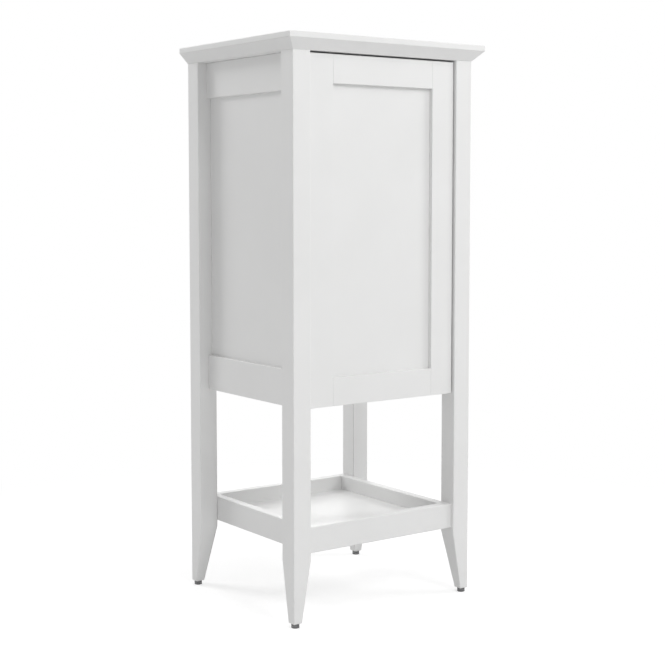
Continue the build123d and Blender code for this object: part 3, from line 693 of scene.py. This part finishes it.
def screw(length, radius, head_radius, head_height, pitch):
    """A screw with its head's seat at height 0, its head below and its point at length."""
    core = 0.7 * radius
    flat = 0.62 * head_radius
    outline = [(0, length), (core, length - 1.5 * radius), (core, 0)]
    outline += [(head_radius - 0.15 * mm, 0), (head_radius, -0.15 * mm)]
    curve_start, curve_steps = 0.4 * head_height, 5
    for step in range(curve_steps + 1):
        turn = step / curve_steps * pi / 2
        across = flat + (head_radius - flat) * cos(turn)
        outline.append((across, -curve_start - (head_height - curve_start) * sin(turn)))
    form = turned(outline, 32)
    cross_recess(form, -head_height, 0.5 * head_radius, 0.75 * head_height)
    bmesh.ops.recalc_face_normals(form, faces=form.faces)
    ridge = thread(core - 0.1 * mm, radius, pitch, 0.8 * pitch, length - 1.2 * radius, 20)
    return joined([form, ridge])


# %% All screws, each in the place of its CAD solid
# Of each node: the thread's radius, the head's height, the pitch, and the direction of the point.
screw_kinds = {
    "top_screws": (2.0 * mm, 2.4 * mm, 1.8 * mm, (0, 0, 1)),
    "carcase_screws": (1.75 * mm, 1.6 * mm, 1.4 * mm, (1, 0, 0)),
    "hinge_cup_screws": (1.75 * mm, 1.6 * mm, 1.4 * mm, (0, -1, 0)),
    "hinge_arm_screws": (2.0 * mm, 1.6 * mm, 0.8 * mm, (1, 0, 0)),
}
for node, (radius, head_height, pitch, usual) in screw_kinds.items():
    screws = []
    for low, high in solids_of(node):
        size = high - low
        along = Vector(usual)
        if node == "carcase_screws" and size.z > size.x:
            along = Vector((0, 0, 1))
        axis = [abs(part) for part in along].index(1.0)
        full_length = size[axis]
        head_radius = max(size[other] for other in range(3) if other != axis) / 2
        seat = (low + high) / 2 - along * (full_length / 2 - head_height)
        form = screw(full_length - head_height, radius, head_radius, head_height, pitch)
        screws.append(placed(form, seat, along))
    make_piece(joined(screws), node)

# %% [markdown]
# ## Hinges
#
# A concealed hinge is stamped from steel sheet and plated. Its forms are exact in the CAD, because
# each pin has to run in its hole. The press leaves the outer edges of a blank slightly rounded, so
# the long outer edges of plates, arms, links and cups are eased by a fraction of the sheet.

# %% Easing the hinge pieces
stamped_ease = 0.15 * mm
shortest_stamped = 1.2 * mm
for node in sorted(cad_nodes):
    if node.startswith("hinge_") and "screw" not in node:
        make_piece(ease(merged_copy(node), stamped_ease, shortest_stamped), node)

# %% [markdown]
# ## Shelf pins and latch
#
# The shelf pins are plain steel pegs with rounded ends. The push latch has a plunger with a
# magnet in its tip, which keeps the door shut against a steel disc, so the tip is turned hollow
# and a dark magnet is set into it. The housing is a moulding with soft edges.

# %% The shelf pins
pegs = []
for low, high in solids_of("shelf_pins"):
    radius, length = (high.z - low.z) / 2, high.x - low.x
    outline = [(0, 0), (radius - 1.0 * mm, 0), (radius - 0.3 * mm, 0.3 * mm), (radius, 1.0 * mm)]
    outline += [(reach, length - height) for reach, height in reversed(outline)]
    start = Vector((low.x, (low.y + high.y) / 2, (low.z + high.z) / 2))
    pegs.append(placed(turned(outline, 32), start, (1, 0, 0)))
make_piece(joined(pegs), "shelf_pins")

# %% The latch
low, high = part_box("latch_plunger")
radius, length = (high.x - low.x) / 2, high.y - low.y
magnet_radius, magnet_depth = 2.7 * mm, 1.6 * mm
outline = [
    (0, magnet_depth),
    (magnet_radius, magnet_depth),
    (magnet_radius, 0),
    (radius - 0.6 * mm, 0),
    (radius - 0.1 * mm, 0.3 * mm),
    (radius, 0.9 * mm),
    (radius, 4.0 * mm),
    (radius - 0.4 * mm, 4.3 * mm),
    (radius - 0.4 * mm, 5.2 * mm),
    (radius, 5.5 * mm),
    (radius, length - 0.5 * mm),
    (radius - 0.5 * mm, length),
    (0, length),
]
tip = Vector(((low.x + high.x) / 2, low.y, (low.z + high.z) / 2))
make_piece(placed(turned(outline), tip, (0, 1, 0)), "latch_plunger")
reach = magnet_radius - 0.1 * mm
outline = [
    (0, 0.2 * mm),
    (reach - 0.3 * mm, 0.2 * mm),
    (reach, 0.5 * mm),
    (reach, magnet_depth),
    (0, magnet_depth),
]
make_piece(placed(turned(outline), tip, (0, 1, 0)), "latch_plunger", "latch_magnet", "dark_steel")

low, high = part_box("latch_strike")
radius, thickness = (high.x - low.x) / 2, high.y - low.y
outline = [
    (0, 0),
    (radius, 0),
    (radius, thickness - 0.4 * mm),
    (radius - 0.4 * mm, thickness),
    (2.6 * mm, thickness),
    (1.6 * mm, 0.4 * mm),
    (0, 0.4 * mm),
]
middle = Vector(((low.x + high.x) / 2, low.y, (low.z + high.z) / 2))
make_piece(placed(turned(outline), middle, (0, 1, 0)), "latch_strike")
make_piece(ease(merged_copy("latch_body"), 0.4 * mm, 2 * mm), "latch_body")

# %% [markdown]
# ## Light and floor
#
# The photograph tells where its light comes from. The fronts are the brightest and get slightly
# darker downwards, so the main lamp stands in front and above. The back legs' front faces are in
# its shade, while the tray's floor is bright, so more light comes in from the right and from
# behind on both sides. The rest is soft light from all round. Each lamp is a square, large enough
# for soft shadow edges, at the same distance from the cabinet's middle.
#
# The background is plain white. More light on the floor would burn out the pale paint as well, so
# the floor is a matt white that is lifted to full white for the camera's rays alone. Near the legs
# it keeps a faint shadow, and further away it turns into plain white light.

# %% The world
def make_world(level):
    """A world that looks white to the camera and in reflections, and lights the rest by its level."""
    world = bpy.data.worlds.new("studio")
    world.use_nodes = True
    tree = world.node_tree
    tree.nodes.clear()
    rays = add_node(tree, "ShaderNodeLightPath")
    ambient = add_node(tree, "ShaderNodeBackground", Color=(1, 1, 1, 1), Strength=level)
    white = add_node(tree, "ShaderNodeBackground", Color=(1, 1, 1, 1), Strength=1.0)
    mix = add_node(tree, "ShaderNodeMixShader")
    out = add_node(tree, "ShaderNodeOutputWorld")
    seen = math_node(
        tree,
        "MAXIMUM",
        rays.outputs["Is Camera Ray"],
        math_node(tree, "MAXIMUM", rays.outputs["Is Glossy Ray"], rays.outputs["Is Transmission Ray"]),
    )
    tree.links.new(seen, mix.inputs[0])
    tree.links.new(ambient.outputs[0], mix.inputs[1])
    tree.links.new(white.outputs[0], mix.inputs[2])
    tree.links.new(mix.outputs[0], out.inputs[0])
    return world


bpy.context.scene.world = make_world(0.48)

# %% The lamps
lit_point = Vector((0, 0, 0.45))
lamp_distance = 4.0


def add_lamp(name, turn, height, power, size=1.2):
    """A square lamp that faces the cabinet: turn is 0 in front and 90 on the right, in degrees."""
    data = bpy.data.lights.new(name, "AREA")
    data.shape = "SQUARE"
    data.size = size
    data.energy = power
    turn, height = radians(turn), radians(height)
    away = Vector((sin(turn) * cos(height), -cos(turn) * cos(height), sin(height)))
    lamp = bpy.data.objects.new(name, data)
    lamp.location = lit_point + away * lamp_distance
    lamp.rotation_euler = (-away).to_track_quat("-Z", "Y").to_euler()
    bpy.context.scene.collection.objects.link(lamp)


add_lamp("key_front", 0, 35, 44)
add_lamp("fill_right", 60, 35, 39)
add_lamp("rim_left", -150, 35, 46)
add_lamp("rim_right", 150, 12, 16)

# %% The floor
floor_radius = 4.0
floor_bm = bmesh.new()
bmesh.ops.create_circle(floor_bm, cap_ends=True, segments=96, radius=floor_radius)
floor_mesh = bpy.data.meshes.new("floor")
floor_bm.to_mesh(floor_mesh)
floor_bm.free()
floor = bpy.data.objects.new("floor", floor_mesh)
bpy.context.scene.collection.objects.link(floor)
floor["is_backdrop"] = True


def make_floor_finish(near, far, lift):
    """A matt white, lifted to full white for the camera alone, with no shadow far from the legs."""
    material, tree, shader = new_material("studio_floor")
    shader.inputs["Base Color"].default_value = (0.85, 0.85, 0.85, 1)
    shader.inputs["Roughness"].default_value = 0.9
    shader.inputs["Specular IOR Level"].default_value = 0.1
    place = add_node(tree, "ShaderNodeTexCoord")
    distance = add_node(tree, "ShaderNodeVectorMath", operation="LENGTH")
    fade = add_node(tree, "ShaderNodeMapRange", interpolation_type="SMOOTHSTEP")
    fade.inputs["From Min"].default_value = near
    fade.inputs["From Max"].default_value = far
    fade.inputs["To Min"].default_value = 0.35
    rays = add_node(tree, "ShaderNodeLightPath")
    white = add_node(tree, "ShaderNodeEmission", Color=(1, 1, 1, 1), Strength=1.0)
    mix = add_node(tree, "ShaderNodeMixShader")
    tree.links.new(place.outputs["Object"], distance.inputs[0])
    tree.links.new(distance.outputs["Value"], fade.inputs["Value"])
    lifted = math_node(tree, "MULTIPLY", rays.outputs["Is Camera Ray"], lift)
    tree.links.new(lifted, shader.inputs["Emission Strength"])
    shader.inputs["Emission Color"].default_value = (1, 1, 1, 1)
    amount = math_node(tree, "MULTIPLY", fade.outputs["Result"], rays.outputs["Is Camera Ray"])
    tree.links.new(amount, mix.inputs[0])
    tree.links.new(shader.outputs[0], mix.inputs[1])
    tree.links.new(white.outputs[0], mix.inputs[2])
    tree.links.new(mix.outputs[0], tree.nodes["Material Output"].inputs[0])
    return material


floor_mesh.materials.append(make_floor_finish(near=0.5, far=1.3, lift=0.36))
print("Lit by", len(bpy.data.lights), "lamps, on a floor of", 2 * floor_radius, "m")

# %% [markdown]
# ## Colours as written, and the last measure
#
# The standard view shows each colour as the material gives it. The box of the dressed cabinet is measured
# and printed.

# %% Colours as written
bpy.context.scene.view_settings.view_transform = "Standard"

# %% Measure and finish
low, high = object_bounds()
print("Visual box:", [round(v, 4) for v in low], [round(v, 4) for v in high])
